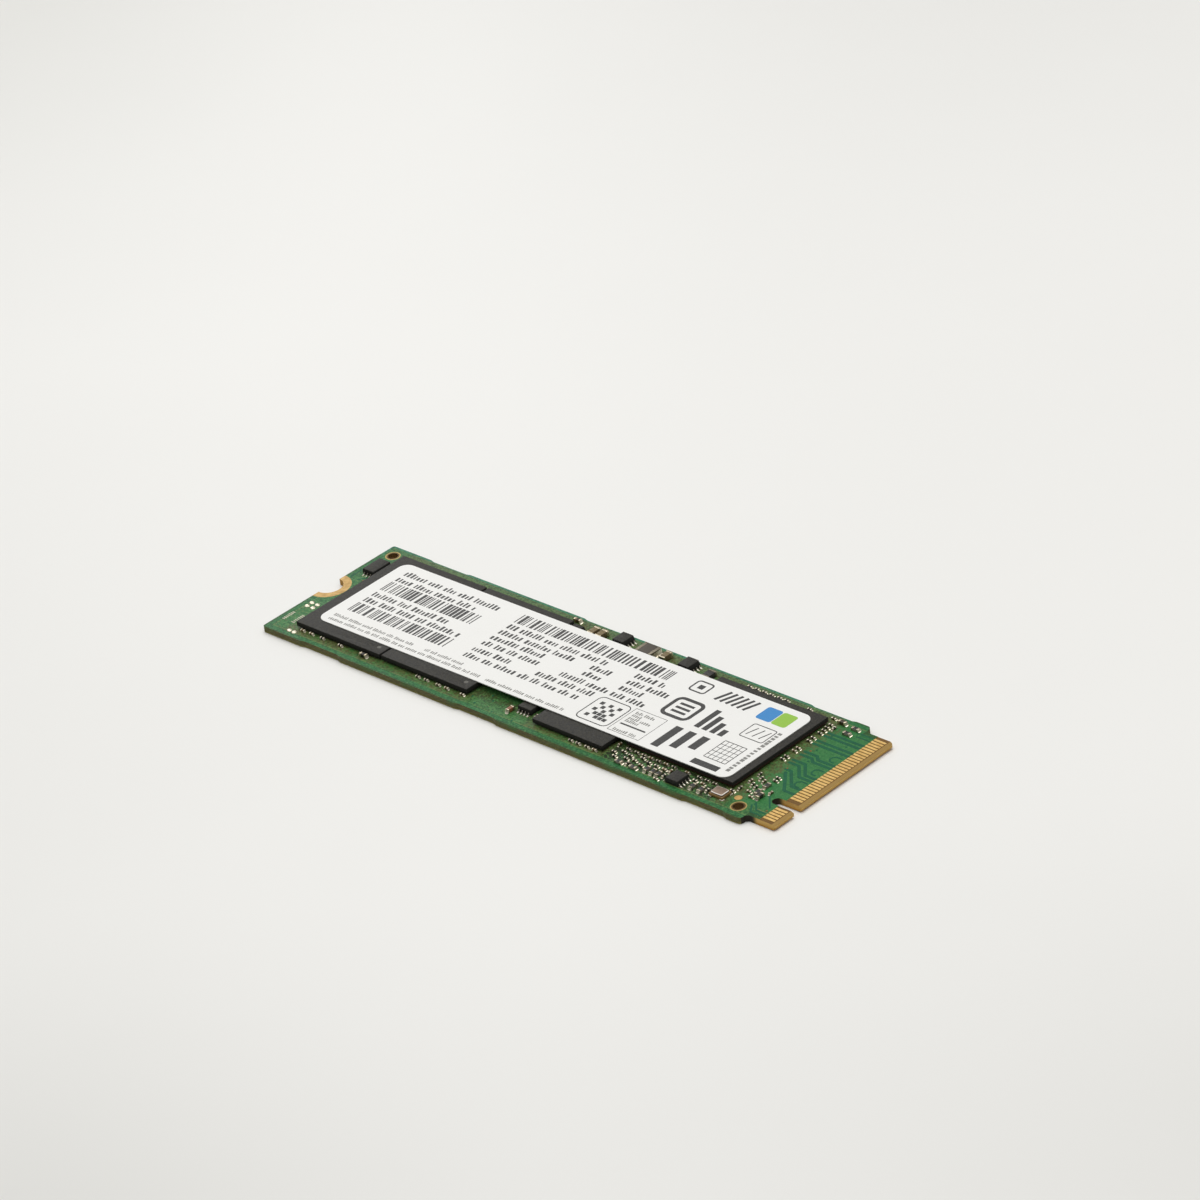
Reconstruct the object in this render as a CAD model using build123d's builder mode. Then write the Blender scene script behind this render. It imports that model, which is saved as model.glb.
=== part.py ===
import os

from build123d import *

os.makedirs("parts", exist_ok=True)

# Lengthwise layout in mm, from the notch end to the contact end: the card's length is the sum
notch_strip = 3.9
memory_length = 14.0
memory_gap = 0.3
power_strip = 10.8
cache_length = 10.85
cache_gap = 1.5
controller_length = 16.0
connector_strip = 8.65

# Widthwise layout: the card is as wide as its widest stack
edge_strip = 2.0
memory_width = 18.0
cache_near_strip = 1.67
cache_width = 11.38
controller_near_strip = 4.05
controller_width = 16.0
controller_far_strip = 1.95

# Circuit board
card_thickness = 0.8
mask_thickness = 0.03
rear_corner_radius = 0.3
tongue_length = 4.0
shoulder_depth = 1.075
shoulder_radius = 0.5
shoulder_radius_limit = 0.48
tongue_corner_radius = 0.25
corner_tolerance = 0.01
bevel_length = 0.42
bevel_depth = 0.22
key_width = 1.2
key_depth = 3.5
key_offset = 6.125
tab_length = 6.7
tab_depth = 0.18
tab_ramp = 0.6
tab_in_memory = 5.85
tab_in_power = 3.1
tab_in_controller = 0.85

# Edge contacts
contact_pitch = 0.5
contact_width = 0.34
contact_margin = 0.6
contact_root = 2.15
contact_tip = 0.45
contact_key_space = 0.4

# Screw notch, tooling holes and bare pads
notch_radius = 1.75
notch_pad_radius = 2.75
tooling_radius = 0.62
tooling_pad_radius = 0.95
tooling_edge = 1.8
tooling_end = 1.65
tooling_share = 0.324
plating = 0.04
fiducial_radius = 0.45
fiducial_edge = 3.05
fiducial_share = 0.194
test_pad_radius = 0.27
test_pad_sides = 8
test_pad_height = 0.03
test_pad_pitch_x = 0.95
test_pad_pitch_y = 0.8
test_pad_share = 0.436
test_pad_offset = 4.42
corner_pad_shift = 0.05

# Ball-grid packages
standoff = 0.22
memory_body = 0.63
cache_body = 0.58
controller_body = 0.63
package_edge = 0.04
pin_mark_radius = 0.28
pin_mark_depth = 0.02
pin_mark_inset = 1.2
ball_radius = 0.22
ball_sides = 6
ball_pitch = 2.4
ball_margin = 1.0

# Label
label_thickness = 0.1
label_width = 15.0
label_shift = 0.4
label_turn = 0.24
label_memory_inset = 1.61
label_controller_inset = 1.0
label_radius = 1.25

# Leaded chips
chip_clearance = 0.05
chip_lower = 0.3
chip_upper = 0.36
chip_draft = 10.0
lead_pitch = 0.5
lead_width = 0.2
lead_thickness = 0.1
lead_reach = 0.44
lead_knee = 0.12
lead_heel = 0.24
identity_size = (1.9, 3.0)
identity_share = 0.62
identity_offset = 5.75
sensor_size = (2.1, 2.1)
switch_size = (1.9, 2.0)
regulator_size = (1.8, 2.1)
regulator_upper = 0.6
power_chip_size = (1.6, 2.6)

# Places across the far row, as shares of the space between the memory and the controller,
# and distances in from the far edge of the card
power_chip_share = 0.045
filter_shares = (0.142, 0.1965, 0.614)
regulator_shares = (0.328, 0.77)
inductor_share = 0.501
bead_share = 0.916
power_chip_edge = 3.4
filter_edges = (2.2, 2.2, 1.7)
regulator_edge = 1.75
inductor_edge = 1.85
bead_edge = 2.02

# Places beside the cache and the controller: the sensor and its capacitors from the cache's near
# corner, the switch and the crystal in field columns and mm out from the controller
sensor_place = (-2.43, 2.23)
sensor_capacitor_place = (-4.17, 0.63)
switch_place = (16.9, 2.15)
crystal_place = (27.23, 1.62)
field_columns = 28
row_clearance = 0.27
far_row_edge = 1.05
near_row_edge = 1.57

# Chip parts with two end terminals: length, width, height and terminal length
small_chip = (0.6, 0.3, 0.28, 0.17)
medium_chip = (1.05, 0.52, 0.5, 0.26)
resistor_chip = (1.0, 0.5, 0.36, 0.24)
filter_chip = (1.6, 0.86, 0.8, 0.36)
inductor_chip = (2.4, 2.0, 0.78, 0.4)
bead_chip = (1.55, 1.1, 0.72, 0.28)
terminal_wrap = 0.02

# Crystal
crystal_base_size = (2.0, 1.6, 0.28)
crystal_lid_size = (1.72, 1.32, 0.22)
crystal_lid_radius = 0.22
crystal_pad_size = (0.5, 0.42, 0.06)
crystal_pad_reach = 0.1

# Stations along and across the card, worked out from the layout
card_length = (notch_strip + 2 * memory_length + memory_gap + power_strip + cache_length
               + cache_gap + controller_length + connector_strip)
card_width = max(memory_width + 2 * edge_strip,
                 controller_near_strip + controller_width + controller_far_strip)
card_end = card_length / 2
card_edge = card_width / 2
memory_start = -card_end + notch_strip
memory_inner_start = memory_start + memory_length + memory_gap
memory_end = memory_inner_start + memory_length
cache_start = memory_end + power_strip
cache_end = cache_start + cache_length
controller_start = cache_end + cache_gap
controller_end = controller_start + controller_length
memory_near = -memory_width / 2
cache_near = -card_edge + cache_near_strip
controller_near = -card_edge + controller_near_strip
controller_far = controller_near + controller_width
tongue_half = card_edge - shoulder_depth
shoulder_x = card_end - tongue_length
package_top = standoff + max(memory_body, cache_body, controller_body)
chip_top = chip_clearance + chip_lower + chip_upper
label_base = card_thickness + max(package_top, chip_top, filter_chip[2], inductor_chip[2])
top = Plane.XY.offset(card_thickness)

# Places of the tooling holes, tab recesses and contacts
tooling_places = [(-card_end + tooling_end, card_edge - tooling_edge),
                  (controller_end + tooling_share * connector_strip, -card_edge + tooling_edge)]
tab_centres = [memory_start + tab_in_memory, memory_end + tab_in_power,
               controller_end - tab_in_controller]


def contact_places(count):
    start = (count - 1) / 2 * contact_pitch
    key_space = key_width / 2 + contact_key_space
    steps = [start - i * contact_pitch for i in range(count)]
    x = card_end - (contact_root + contact_tip) / 2
    return [(x, y) for y in steps if abs(y + key_offset) > key_space]


contact_count = int((2 * tongue_half - 2 * contact_margin) / contact_pitch) + 1

# Circuit board: outline, shoulders, break-off recesses, key slot, screw notch and tooling holes
with BuildPart() as circuit_board:
    with BuildSketch() as outline:
        Rectangle(card_length, card_width)
        for side in (-1, 1):
            with Locations((card_end - tongue_length / 2, side * (card_edge - shoulder_depth / 2))):
                Rectangle(tongue_length, shoulder_depth, mode=Mode.SUBTRACT)
        shoulders = outline.vertices().filter_by_position(Axis.X, shoulder_x - corner_tolerance,
                                                          shoulder_x + corner_tolerance)
        fillet(shoulders, min(shoulder_radius, shoulder_radius_limit * shoulder_depth))
        fillet(outline.vertices().group_by(Axis.X)[0], rear_corner_radius)
        fillet(outline.vertices().group_by(Axis.X)[-1], tongue_corner_radius)
        for centre in tab_centres:
            for side in (-1, 1):
                Polygon((centre - tab_length / 2, side * card_edge),
                        (centre - tab_length / 2 + tab_ramp, side * (card_edge - tab_depth)),
                        (centre + tab_length / 2 - tab_ramp, side * (card_edge - tab_depth)),
                        (centre + tab_length / 2, side * card_edge),
                        align=None, mode=Mode.SUBTRACT)
        with Locations((card_end - key_depth + key_width / 2, -key_offset)):
            Circle(key_width / 2, mode=Mode.SUBTRACT)
            Rectangle(key_depth, key_width, align=(Align.MIN, Align.CENTER), mode=Mode.SUBTRACT)
        with Locations((-card_end, 0)):
            Circle(notch_radius, mode=Mode.SUBTRACT)
        with Locations(*tooling_places):
            Circle(tooling_radius + plating, mode=Mode.SUBTRACT)
    extrude(amount=card_thickness)
    # Mask stops short of the contacts, the notch ring and the hole rings on both faces
    for level in (0, card_thickness - mask_thickness):
        with BuildSketch(Plane.XY.offset(level)):
            with Locations((card_end, 0)):
                Rectangle(contact_root, card_width, align=(Align.MAX, Align.CENTER))
            with Locations((-card_end, 0)):
                Circle(notch_pad_radius)
            with Locations(*tooling_places):
                Circle(tooling_pad_radius)
        extrude(amount=mask_thickness, mode=Mode.SUBTRACT)
    # Lead-in bevel along the contact end, above and below
    with BuildSketch(Plane.XZ):
        for level, rise in ((0, bevel_depth), (card_thickness, -bevel_depth)):
            Polygon((card_end - bevel_length, level), (card_end, level), (card_end, level + rise),
                    align=None)
    extrude(amount=card_width, both=True, mode=Mode.SUBTRACT)
circuit_board.part.label = "circuit_board"
export_step(circuit_board.part, "parts/circuit_board.step")

# Gold edge contacts, flush with the mask
contact_length = contact_root - contact_tip
with BuildPart() as edge_contacts_top:
    with BuildSketch(Plane.XY.offset(card_thickness - mask_thickness)):
        with Locations(*contact_places(contact_count)):
            Rectangle(contact_length, contact_width)
    extrude(amount=mask_thickness)
edge_contacts_top.part.label = "edge_contacts_top"
export_step(edge_contacts_top.part, "parts/edge_contacts_top.step")

with BuildPart() as edge_contacts_bottom:
    with BuildSketch():
        with Locations(*contact_places(contact_count - 1)):
            Rectangle(contact_length, contact_width)
    extrude(amount=mask_thickness)
edge_contacts_bottom.part.label = "edge_contacts_bottom"
export_step(edge_contacts_bottom.part, "parts/edge_contacts_bottom.step")

# Plated half rings round the screw notch, one on each face
with BuildPart() as mount_notch_plating:
    for level in (0, card_thickness - mask_thickness):
        with BuildSketch(Plane.XY.offset(level)):
            with Locations((-card_end, 0)):
                Circle(notch_pad_radius)
                Circle(notch_radius, mode=Mode.SUBTRACT)
                Rectangle(notch_pad_radius, 2 * notch_pad_radius, align=(Align.MAX, Align.CENTER),
                          mode=Mode.SUBTRACT)
        extrude(amount=mask_thickness)
mount_notch_plating.part.label = "mount_notch_plating"
export_step(mount_notch_plating.part, "parts/mount_notch_plating.step")

# Plated linings of the tooling holes, each with a ring on both faces
with BuildPart() as tooling_hole_plating:
    for x, y in tooling_places:
        with BuildSketch(Plane(origin=(x, y, 0), x_dir=(1, 0, 0), z_dir=(0, -1, 0))):
            Polygon((tooling_radius, 0), (tooling_pad_radius, 0), (tooling_pad_radius, mask_thickness),
                    (tooling_radius + plating, mask_thickness),
                    (tooling_radius + plating, card_thickness - mask_thickness),
                    (tooling_pad_radius, card_thickness - mask_thickness),
                    (tooling_pad_radius, card_thickness), (tooling_radius, card_thickness), align=None)
        revolve(axis=Axis((x, y, 0), (0, 0, 1)))
tooling_hole_plating.part.label = "tooling_hole_plating"
export_step(tooling_hole_plating.part, "parts/tooling_hole_plating.step")

# Bare pads on the mask
with BuildPart() as fiducial_pad:
    with BuildSketch(top):
        with Locations((controller_end + fiducial_share * connector_strip, -card_edge + fiducial_edge)):
            Circle(fiducial_radius)
    extrude(amount=test_pad_height)
fiducial_pad.part.label = "fiducial_pad"
export_step(fiducial_pad.part, "parts/fiducial_pad.step")

with BuildPart() as test_pads:
    with BuildSketch(top):
        with Locations((-card_end + test_pad_share * notch_strip, -test_pad_offset)):
            with GridLocations(test_pad_pitch_x, test_pad_pitch_y, 2, 2):
                RegularPolygon(test_pad_radius, test_pad_sides)
        with Locations((memory_start + corner_pad_shift, memory_near - edge_strip / 2)):
            with GridLocations(test_pad_pitch_y, test_pad_pitch_y, 2, 1):
                RegularPolygon(test_pad_radius, test_pad_sides)
    extrude(amount=test_pad_height)
test_pads.part.label = "test_pads"
export_step(test_pads.part, "parts/test_pads.step")


# Ball-grid package: a sawn block with eased top edges and a shallow corner mark
def ball_grid_package(name, x, y, length, width, body, mark):
    with BuildPart() as package:
        with BuildSketch(Plane.XY.offset(card_thickness + standoff)):
            with Locations((x, y)):
                Rectangle(length, width)
        extrude(amount=body)
        chamfer(package.faces().sort_by(Axis.Z)[-1].edges(), package_edge)
        if mark:
            with BuildSketch(Plane.XY.offset(card_thickness + standoff + body)):
                with Locations((x + length / 2 - pin_mark_inset, y - width / 2 + pin_mark_inset)):
                    Circle(pin_mark_radius)
            extrude(amount=-pin_mark_depth, mode=Mode.SUBTRACT)
    package.part.label = name
    export_step(package.part, f"parts/{name}.step")


# Outer ring of solder balls under a package, as many as the pitch allows
def ball_ring(name, x, y, length, width):
    reach_x = length - 2 * ball_margin
    reach_y = width - 2 * ball_margin
    columns = int(reach_x / ball_pitch) + 1
    rows = int(reach_y / ball_pitch)
    with BuildPart() as balls:
        with BuildSketch(top):
            with Locations((x, y)):
                with GridLocations(reach_x / (columns - 1), reach_y, columns, 2):
                    RegularPolygon(ball_radius, ball_sides)
                with GridLocations(reach_x, reach_y / rows, 2, rows - 1):
                    RegularPolygon(ball_radius, ball_sides)
        extrude(amount=standoff)
    balls.part.label = name
    export_step(balls.part, f"parts/{name}.step")


cache_x = (cache_start + cache_end) / 2
cache_y = cache_near + cache_width / 2
controller_x = (controller_start + controller_end) / 2
controller_y = controller_near + controller_width / 2
for place, offset in (("outer", 0), ("inner", memory_length + memory_gap)):
    x = memory_start + memory_length / 2 + offset
    ball_grid_package(f"memory_package_{place}", x, 0, memory_length, memory_width, memory_body, True)
    ball_ring(f"memory_solder_balls_{place}", x, 0, memory_length, memory_width)
ball_grid_package("cache_package", cache_x, cache_y, cache_length, cache_width, cache_body, False)
ball_ring("cache_solder_balls", cache_x, cache_y, cache_length, cache_width)
ball_grid_package("controller_package", controller_x, controller_y, controller_length,
                  controller_width, controller_body, False)
ball_ring("controller_solder_balls", controller_x, controller_y, controller_length, controller_width)

# Label lying across the packages, stuck on a little askew
label_start = memory_start + label_memory_inset
label_end = controller_end - label_controller_inset
with BuildPart() as label_sheet:
    with BuildSketch(Plane.XY.offset(label_base)):
        with Locations(((label_start + label_end) / 2, label_shift)):
            RectangleRounded(label_end - label_start, label_width, label_radius, rotation=label_turn)
    extrude(amount=label_thickness)
label_sheet.part.label = "label_sheet"
export_step(label_sheet.part, "parts/label_sheet.step")


# Moulded chip body: straight up to the lead line, drawn in above it
def moulded_body(name, seat, length, width, clearance, upper):
    with BuildPart() as body:
        with BuildSketch(seat.offset(clearance)):
            Rectangle(length, width)
        extrude(amount=chip_lower)
        with BuildSketch(seat.offset(clearance + chip_lower)):
            Rectangle(length, width)
        extrude(amount=upper, taper=chip_draft)
    body.part.label = name
    export_step(body.part, f"parts/{name}.step")


# Gull-wing leads on the two sides that face along the seat's own X
def gull_leads(name, seat, length, count):
    rise = chip_clearance + chip_lower
    profile = [(0, rise), (lead_knee, rise), (lead_heel, lead_thickness), (lead_reach, lead_thickness),
               (lead_reach, 0), (lead_heel - lead_thickness / 2, 0),
               (lead_knee - lead_thickness / 2, rise - lead_thickness), (0, rise - lead_thickness)]
    section = Plane(origin=seat.origin, x_dir=seat.x_dir, z_dir=seat.y_dir * -1)
    with BuildPart() as leads:
        for i in range(count):
            with BuildSketch(section.offset((i - (count - 1) / 2) * lead_pitch)):
                for side in (-1, 1):
                    Polygon(*[(side * (length / 2 + u), v) for u, v in profile], align=None)
            extrude(amount=lead_width / 2, both=True)
    leads.part.label = name
    export_step(leads.part, f"parts/{name}.step")


def leaded_chip(name, x, y, size, facing, count, upper=chip_upper):
    seat = Plane(origin=(x, y, card_thickness), x_dir=facing)
    across, along = size if facing == along_x else (size[1], size[0])
    moulded_body(f"{name}_body", seat, across, along, chip_clearance, upper)
    gull_leads(f"{name}_leads", seat, across, count)


# Row on the far edge between the memory and the controller, shared out over the space there
far_row = controller_start - memory_end


def far_place(share, edge):
    return (memory_end + share * far_row, card_edge - edge)


# Field on the near side of the controller, in columns along it and in mm out from its near edge
field_column = controller_length / field_columns


def field_place(column, out):
    return (controller_start + column * field_column, controller_near - out)


def cache_place(along, out):
    return (cache_start + along, cache_near + out)


# Strip between the controller and the contacts, in mm out from the controller and in from an edge
def strip_far(out, edge):
    return (controller_end + out, card_edge - edge)


def strip_near(out, edge):
    return (controller_end + out, edge - card_edge)


along_x = (1, 0, 0)
along_y = (0, 1, 0)
leaded_chip("identity_chip", -card_end + identity_share * notch_strip, identity_offset,
            identity_size, along_y, 3)
leaded_chip("sensor_chip", *cache_place(*sensor_place), sensor_size, along_y, 4)
leaded_chip("power_switch", *field_place(*switch_place), switch_size, along_x, 4)
for name, share in zip(("regulator_inner", "regulator_outer"), regulator_shares):
    leaded_chip(name, *far_place(share, regulator_edge), regulator_size, along_x, 4, regulator_upper)
moulded_body("power_chip_body",
             Plane(origin=(*far_place(power_chip_share, power_chip_edge), card_thickness)),
             *power_chip_size, 0, chip_upper)


# Chip parts: blocks with a terminal at each end, lying along X or along Y
def chip_parts(name, size, lying_x, lying_y):
    length, width, height, terminal = size
    waist = length - 2 * terminal
    reach = (length - terminal) / 2
    slim = width - 2 * terminal_wrap
    with BuildPart() as bodies:
        with BuildSketch(top.offset(terminal_wrap)):
            if lying_x:
                with Locations(*lying_x):
                    Rectangle(waist, slim)
            if lying_y:
                with Locations(*lying_y):
                    Rectangle(slim, waist)
        extrude(amount=height - 2 * terminal_wrap)
    bodies.part.label = f"{name}_bodies"
    export_step(bodies.part, f"parts/{name}_bodies.step")
    with BuildPart() as terminals:
        with BuildSketch(top):
            if lying_x:
                with Locations(*[(x + s * reach, y) for x, y in lying_x for s in (-1, 1)]):
                    Rectangle(terminal, width)
            if lying_y:
                with Locations(*[(x, y + s * reach) for x, y in lying_y for s in (-1, 1)]):
                    Rectangle(width, terminal)
        extrude(amount=height)
    terminals.part.label = f"{name}_terminals"
    export_step(terminals.part, f"parts/{name}_terminals.step")


# Small capacitors: along the memory, the cache and the controller, and in the connector strip
memory_outer_row = [1.25, 2.72, 4.57, 7.6]
memory_inner_row = [6.24, 7.62, 9.56, 10.94, 13.5]
cache_row = [6.22, 7.34, 8.73, 9.85]
controller_far_row = [6.0, 7.9, 9.9, 11.8, 13.9, 15.7, 21.7, 28.0]
near_field_x = [(1.3, 0.42), (3.5, 0.42), (5.4, 0.42), (7.2, 0.42), (9.2, 0.42), (11.2, 0.42),
                (13.3, 0.42), (16.8, 0.42), (20.0, 0.42), (22.0, 0.42), (24.0, 0.42),
                (1.1, 1.08), (3.2, 1.3), (5.9, 0.95), (8.0, 1.28), (10.1, 1.3), (12.2, 1.35),
                (20.0, 1.17), (22.0, 1.17), (-0.6, 1.7), (3.15, 2.0), (5.1, 1.8), (7.3, 2.14),
                (0.6, 2.35), (13.1, 3.3)]
near_field_y = [(13.7, 1.25), (4.54, 2.69), (13.7, 2.35), (24.3, 1.88)]
cache_sides = [(-0.7, 1.33), (11.5, 2.23)]
lane_setback = 0.68
lane_row = [7.45, 6.8, 5.65, 4.95, 3.13, 2.46, 1.14, 0.5]
strip_far_x = [(0.6, 2.25), (0.6, 2.9)]
strip_far_y = [(1.35, 2.6)]
strip_near_x = [(2.9, 8.3), (3.0, 7.7), (1.95, 4.5), (2.85, 3.8), (0.31, 3.62)]
strip_near_y = [(0.65, 7.8), (1.35, 7.25), (2.0, 6.95), (4.2, 5.6), (0.65, 4.5), (0.65, 6.25),
                (2.0, 5.55), (1.35, 5.8)]
small_x = ([(memory_start + s, memory_near - row_clearance) for s in memory_outer_row]
           + [(memory_inner_start + s, memory_near - row_clearance) for s in memory_inner_row]
           + [(cache_start + s, cache_near - row_clearance) for s in cache_row]
           + [(controller_start + c * field_column, card_edge - far_row_edge)
              for c in controller_far_row]
           + [field_place(*place) for place in near_field_x]
           + [(controller_end + lane_setback, y) for y in lane_row]
           + [strip_far(*place) for place in strip_far_x]
           + [strip_near(*place) for place in strip_near_x])
small_y = ([cache_place(*place) for place in cache_sides]
           + [field_place(*place) for place in near_field_y]
           + [strip_far(*place) for place in strip_far_y]
           + [strip_near(*place) for place in strip_near_y])
chip_parts("small_capacitor", small_chip, small_x, small_y)

# Medium capacitors, chip resistors and the parts of the far row
medium_near_setback = 2.59
medium_far_setback = 0.4
medium_strip_far = (1.5, 1.3)
medium_strip_near = (3.7, 4.35)
chip_parts("medium_capacitor", medium_chip,
           [(memory_inner_start - medium_near_setback, -card_edge + near_row_edge),
            (memory_end - medium_far_setback, card_edge - far_row_edge),
            strip_far(*medium_strip_far)],
           [cache_place(*sensor_capacitor_place), strip_near(*medium_strip_near)])
resistor_field_x = [(2.78, 3.0), (6.58, 3.0)]
resistor_field_y = [(9.37, 2.4), (10.97, 2.4), (12.4, 2.4), (21.0, 2.2), (23.2, 2.2)]
resistor_strip_far = [(3.55, 1.45), (3.35, 2.7)]
resistor_strip_near = [(2.9, 6.4), (2.9, 4.9)]
chip_parts("resistor", resistor_chip,
           [field_place(*place) for place in resistor_field_x]
           + [strip_far(*place) for place in resistor_strip_far],
           [field_place(*place) for place in resistor_field_y]
           + [strip_near(*place) for place in resistor_strip_near])
chip_parts("filter_capacitor", filter_chip, [],
           [far_place(share, edge) for share, edge in zip(filter_shares, filter_edges)])
chip_parts("inductor", inductor_chip, [far_place(inductor_share, inductor_edge)], [])
chip_parts("bead", bead_chip, [], [far_place(bead_share, bead_edge)])

# Crystal: ceramic base on four corner pads, with a sealed metal lid
crystal_seat = Plane(origin=(*field_place(*crystal_place), card_thickness))
base_length, base_width, base_height = crystal_base_size
lid_length, lid_width, lid_height = crystal_lid_size
pad_length, pad_width, pad_height = crystal_pad_size
with BuildPart() as crystal_terminals:
    with BuildSketch(crystal_seat):
        with GridLocations(base_length - pad_length + 2 * crystal_pad_reach,
                           base_width - pad_width + 2 * crystal_pad_reach, 2, 2):
            Rectangle(pad_length, pad_width)
    extrude(amount=pad_height)
crystal_terminals.part.label = "crystal_terminals"
export_step(crystal_terminals.part, "parts/crystal_terminals.step")

with BuildPart() as crystal_base:
    with BuildSketch(crystal_seat.offset(pad_height)):
        Rectangle(base_length, base_width)
    extrude(amount=base_height)
crystal_base.part.label = "crystal_base"
export_step(crystal_base.part, "parts/crystal_base.step")

with BuildPart() as crystal_lid:
    with BuildSketch(crystal_seat.offset(pad_height + base_height)):
        RectangleRounded(lid_length, lid_width, crystal_lid_radius)
    extrude(amount=lid_height)
crystal_lid.part.label = "crystal_lid"
export_step(crystal_lid.part, "parts/crystal_lid.step")
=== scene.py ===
import math
import random

import bmesh
import bpy
from mathutils import Matrix, Vector


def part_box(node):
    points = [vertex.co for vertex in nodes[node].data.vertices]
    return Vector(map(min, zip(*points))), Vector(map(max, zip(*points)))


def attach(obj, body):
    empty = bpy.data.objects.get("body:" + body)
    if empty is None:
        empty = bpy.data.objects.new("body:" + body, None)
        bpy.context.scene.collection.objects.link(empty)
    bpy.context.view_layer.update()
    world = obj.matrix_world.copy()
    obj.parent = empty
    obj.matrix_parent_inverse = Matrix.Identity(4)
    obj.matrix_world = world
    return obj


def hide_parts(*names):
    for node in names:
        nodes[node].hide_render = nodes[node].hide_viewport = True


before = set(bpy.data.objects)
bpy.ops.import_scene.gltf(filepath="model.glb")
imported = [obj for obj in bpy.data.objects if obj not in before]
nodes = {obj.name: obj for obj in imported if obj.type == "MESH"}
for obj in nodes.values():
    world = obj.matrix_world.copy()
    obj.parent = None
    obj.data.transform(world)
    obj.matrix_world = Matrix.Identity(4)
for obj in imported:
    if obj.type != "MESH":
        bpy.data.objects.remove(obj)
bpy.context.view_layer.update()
mm = 0.001  # shapes are modelled in millimetres and kept in metres
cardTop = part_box("circuit_board")[1].z / mm
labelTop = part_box("label_sheet")[1].z / mm
print("frame loaded:", len(nodes), "nodes, card top at", round(cardTop, 3), "mm")


def tint(code):  # screen colour as six hex digits, to the linear colour that a socket takes
    parts = [int(code[i:i + 2], 16) / 255 for i in (0, 2, 4)]
    return tuple(c / 12.92 if c <= 0.04045 else ((c + 0.055) / 1.055) ** 2.4 for c in parts) + (1.0,)


class Flow:  # a shader socket that takes part in Python maths
    def __init__(self, tree, socket=None):
        self.tree = tree
        self.socket = socket

    def node(self, kind, settings=None, inputs=None, output=0):
        made = self.tree.nodes.new(kind)
        for name, value in (settings or {}).items():
            setattr(made, name, value)
        for name, value in (inputs or {}).items():
            if isinstance(value, Flow):
                self.tree.links.new(value.socket, made.inputs[name])
            else:
                made.inputs[name].default_value = value
        return Flow(self.tree, made.outputs[output])

    def maths(self, operation, *terms):
        return self.node("ShaderNodeMath", {"operation": operation}, dict(enumerate(terms)))

    def __add__(self, other):
        return self.maths("ADD", self, other)

    def __sub__(self, other):
        return self.maths("SUBTRACT", self, other)

    def __rsub__(self, other):
        return self.maths("SUBTRACT", other, self)

    def __mul__(self, other):
        return self.maths("MULTIPLY", self, other)

    def __truediv__(self, other):
        return self.maths("DIVIDE", self, other)

    def __pow__(self, other):
        return self.maths("POWER", self, other)

    def __abs__(self):
        return self.maths("ABSOLUTE", self)

    def __gt__(self, other):
        return self.maths("GREATER_THAN", self, other)

    def __lt__(self, other):
        return self.maths("LESS_THAN", self, other)

    __radd__ = __add__
    __rmul__ = __mul__

    def most(self, other):
        return self.maths("MAXIMUM", self, other)

    def least(self, other):
        return self.maths("MINIMUM", self, other)

    def rise(self, low, high):  # 0 below low, 1 above high, smooth between
        return self.node("ShaderNodeMapRange", {"interpolation_type": "SMOOTHSTEP"},
                         {"Value": self, "From Min": low, "From Max": high})

    def past(self, place, blur):  # 0 before the place, 1 after it
        return self.rise(place - blur, place + blur)

    def mix(self, first, second):  # colours, by this value
        return self.node("ShaderNodeMix", {"data_type": "RGBA"}, {0: self, 6: first, 7: second}, 2)

    def parts(self):
        split = self.node("ShaderNodeSeparateXYZ", None, {"Vector": self}).socket.node
        return [Flow(self.tree, out) for out in split.outputs]

    def scaled(self, sizes):
        return self.node("ShaderNodeMapping", None, {"Vector": self, "Scale": sizes})

    def noise(self, size, detail=2.0, roughness=0.5):  # size of a patch in mm
        return self.node("ShaderNodeTexNoise", None, {"Vector": self, "Scale": 1 / (size * mm),
                                                      "Detail": detail, "Roughness": roughness})

    def cells(self, size):  # one random value for each cell of that size in mm
        return self.node("ShaderNodeTexVoronoi", None,
                         {"Vector": self, "Scale": 1 / (size * mm)}, "Color")

    def dots(self, size, radius, scatter=0.45, blur=0.25):  # a round dot in each cell, sizes in mm
        distance = self.node("ShaderNodeTexVoronoi", None,
                             {"Vector": self, "Scale": 1 / (size * mm), "Randomness": scatter}, "Distance")
        share = radius / size
        return 1 - distance.rise(share * (1 - blur), share * (1 + blur))

    def bump(self, strength, depth):
        return self.node("ShaderNodeBump", None,
                         {"Height": self, "Strength": strength, "Distance": depth * mm})


def newFinish(name, fixed=None):
    material = bpy.data.materials.new(name)
    material.use_nodes = True
    shader = material.node_tree.nodes["Principled BSDF"]
    for socket, value in (fixed or {}).items():
        shader.inputs[socket].default_value = value
    return material, shader, Flow(material.node_tree).node("ShaderNodeTexCoord", output="Object")


def feed(node, sockets):
    for name, flow in sockets.items():
        flow.tree.links.new(flow.socket, node.inputs[name])


def facing(coords):  # upward part of the surface's own normal
    return coords.node("ShaderNodeTexCoord", output="Normal").parts()[2]


def places(coords):  # x, y and z in mm
    return [part / mm for part in coords.parts()]


def layered(base, coats):  # colours laid over the base in turn, each by its cover
    for cover, colour in coats:
        base = cover.mix(base, colour)
    return base


def zoneSpan(x, y, low, high):  # distance in mm outside a rectangle, seen from above
    across = abs(x - (low[0] + high[0]) / 2) - (high[0] - low[0]) / 2
    return across.most(abs(y - (low[1] + high[1]) / 2) - (high[1] - low[1]) / 2)


def boxSpan(x, y, name):
    low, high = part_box(name)
    return zoneSpan(x, y, low / mm, high / mm)


copyLook = {"weld": 1e-4, "flatAngle": 0.02}  # mm and radians


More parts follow.
